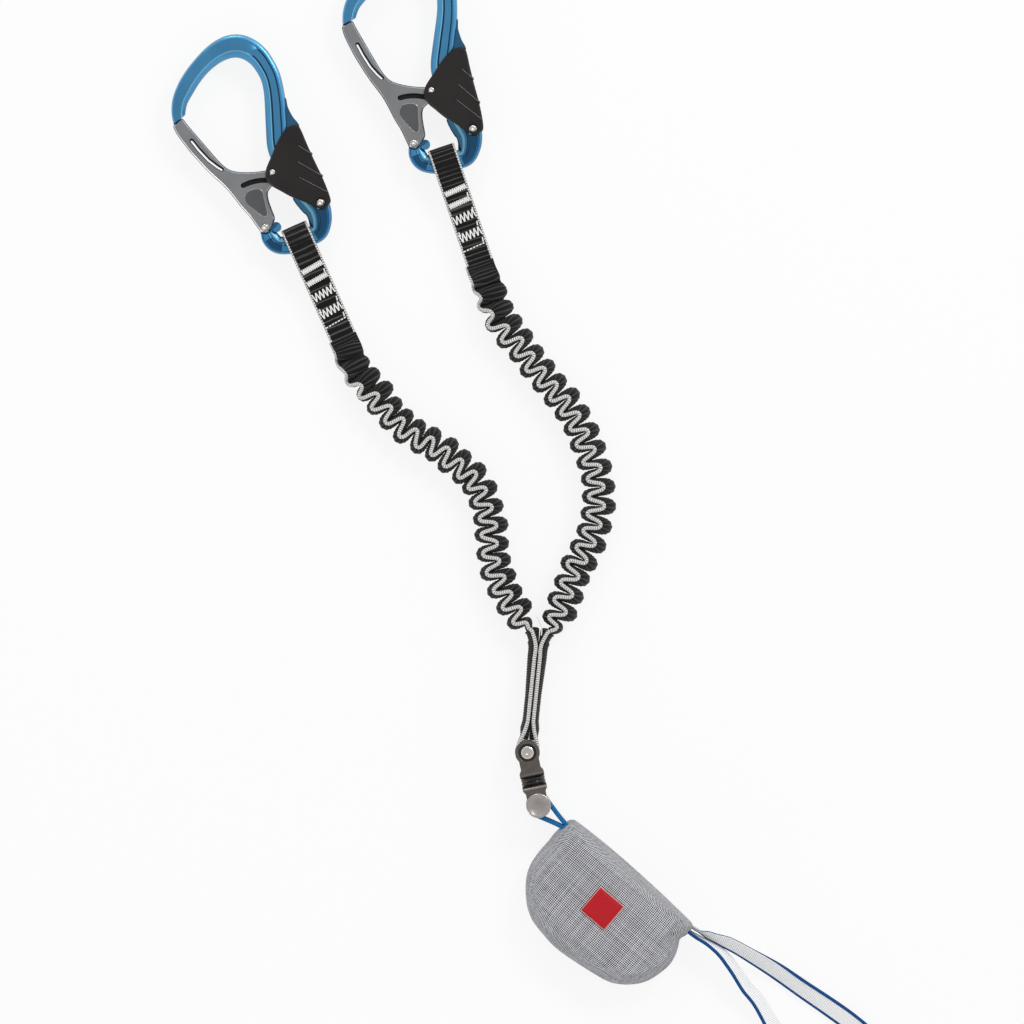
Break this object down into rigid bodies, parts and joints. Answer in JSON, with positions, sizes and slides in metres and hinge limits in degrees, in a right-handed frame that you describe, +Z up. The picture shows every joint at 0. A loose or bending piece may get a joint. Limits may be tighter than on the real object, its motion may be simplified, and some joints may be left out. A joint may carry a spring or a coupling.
{
  "type": "via ferrata lanyard",
  "caption": "Via ferrata lanyard: elastic arms with palm-lever locking carabiners, a riveted swivel, a tear absorber in its pouch and a sewn tie-in loop.",
  "frame": {"origin": "centre of the underside of the swivel's lower pin, on the floor that the lanyard lies on", "axes": "+Z up from the floor, +Y towards the carabiners, +X to the right seen from above; the tie-in loop leaves towards +X and -Y"},
  "size_m": [0.4557, 0.7303, 0.0271],
  "materials": {
    "blue_aluminium": "satin blue anodised",
    "grey_aluminium": "satin dark grey anodised",
    "black_nylon": "satin moulded nylon",
    "bright_steel": "polished",
    "brushed_steel": "tumbled stainless steel",
    "spring_steel": "drawn wire",
    "bearing_bush": "plain bearing bronze",
    "black_webbing": "ribbed woven webbing with pale edges",
    "white_webbing": "ribbed woven webbing with blue edges",
    "pouch_fabric": "grey melange weave",
    "red_patch": "plain coated patch"
  },
  "bodies": {
    "absorber": {"absorber_loop": "white_webbing", "absorber_pack": "white_webbing", "pouch": "pouch_fabric", "pouch_patch": "red_patch", "tie_in_loop": "white_webbing"},
    "lower_swivel": {"lower_bush": "bearing_bush", "lower_clevis": "brushed_steel", "lower_pin": "brushed_steel", "lower_thrust_washer": "black_nylon", "swivel_rivet": "bright_steel"},
    "upper_swivel": {"upper_bush": "bearing_bush", "upper_clevis": "brushed_steel", "upper_pin": "bright_steel", "upper_thrust_washer": "black_nylon"},
    "arms": {"left_elastic_arm": "black_webbing", "left_end_loop": "black_webbing", "right_elastic_arm": "black_webbing", "right_end_loop": "black_webbing", "stem_webbing": "black_webbing"},
    "left_carabiner": {"left_carabiner_body": "blue_aluminium", "left_gate_rivet": "bright_steel", "left_lever_rivet": "bright_steel", "left_lever_spring": "spring_steel"},
    "left_gate_unit": {"left_gate": "grey_aluminium", "left_gate_plunger": "bright_steel", "left_gate_spring": "spring_steel"},
    "left_lever_unit": {"left_lock_stud_back": "bright_steel", "left_lock_stud_front": "bright_steel", "left_palm_lever": "black_nylon"},
    "right_carabiner": {"right_carabiner_body": "blue_aluminium", "right_gate_rivet": "bright_steel", "right_lever_rivet": "bright_steel", "right_lever_spring": "spring_steel"},
    "right_gate_unit": {"right_gate": "grey_aluminium", "right_gate_plunger": "bright_steel", "right_gate_spring": "spring_steel"},
    "right_lever_unit": {"right_lock_stud_back": "bright_steel", "right_lock_stud_front": "bright_steel", "right_palm_lever": "black_nylon"}
  },
  "joints": [
    {"name": "lower_pin_hinge", "type": "hinge", "parent": "absorber", "child": "lower_swivel", "pos_m": [0, 0, 0.0117], "axis": [0, 0, 1], "range_deg": [-30, 30]},
    {"name": "swivel_spin", "type": "hinge", "parent": "lower_swivel", "child": "upper_swivel", "pos_m": [0, 0, 0.0117], "axis": [-0.2041, 0.979, 0], "continuous": true},
    {"name": "upper_pin_hinge", "type": "hinge", "parent": "upper_swivel", "child": "arms", "pos_m": [-0.0064, 0.0307, 0.0117], "axis": [0, 0, 1], "range_deg": [-30, 30]},
    {"name": "left_carabiner_flap", "type": "hinge", "parent": "arms", "child": "left_carabiner", "pos_m": [-0.1381, 0.327, 0.0102], "axis": [0.9135, 0.4067, 0], "range_deg": [-90, 90]},
    {"name": "left_gate_opening", "type": "hinge", "parent": "left_carabiner", "child": "left_gate_unit", "pos_m": [-0.15858, 0.3351, 0.0102], "axis": [0, 0, -1], "range_deg": [0, 28], "stiffness_Nm_per_rad": 0.3, "springref_deg": -17.19},
    {"name": "left_lever_squeeze", "type": "hinge", "parent": "left_carabiner", "child": "left_lever_unit", "pos_m": [-0.12636, 0.34938, 0.0102], "axis": [0, 0, 1], "range_deg": [0, 8.1], "stiffness_Nm_per_rad": 0.2, "springref_deg": -5.73},
    {"name": "right_carabiner_flap", "type": "hinge", "parent": "arms", "child": "right_carabiner", "pos_m": [-0.0535, 0.3724, 0.0102], "axis": [0.9472, 0.3206, 0], "range_deg": [-90, 90]},
    {"name": "right_gate_opening", "type": "hinge", "parent": "right_carabiner", "child": "right_gate_unit", "pos_m": [-0.07218, 0.38407, 0.0102], "axis": [0, 0, -1], "range_deg": [0, 28], "stiffness_Nm_per_rad": 0.3, "springref_deg": -17.19},
    {"name": "right_lever_squeeze", "type": "hinge", "parent": "right_carabiner", "child": "right_lever_unit", "pos_m": [-0.03791, 0.3923, 0.0102], "axis": [0, 0, 1], "range_deg": [0, 8.1], "stiffness_Nm_per_rad": 0.2, "springref_deg": -5.73}
  ],
  "couplings": [
    {"joint": "left_lever_squeeze", "follows": "left_gate_opening", "ratio": 0.2892},
    {"joint": "right_lever_squeeze", "follows": "right_gate_opening", "ratio": 0.2892}
  ]
}
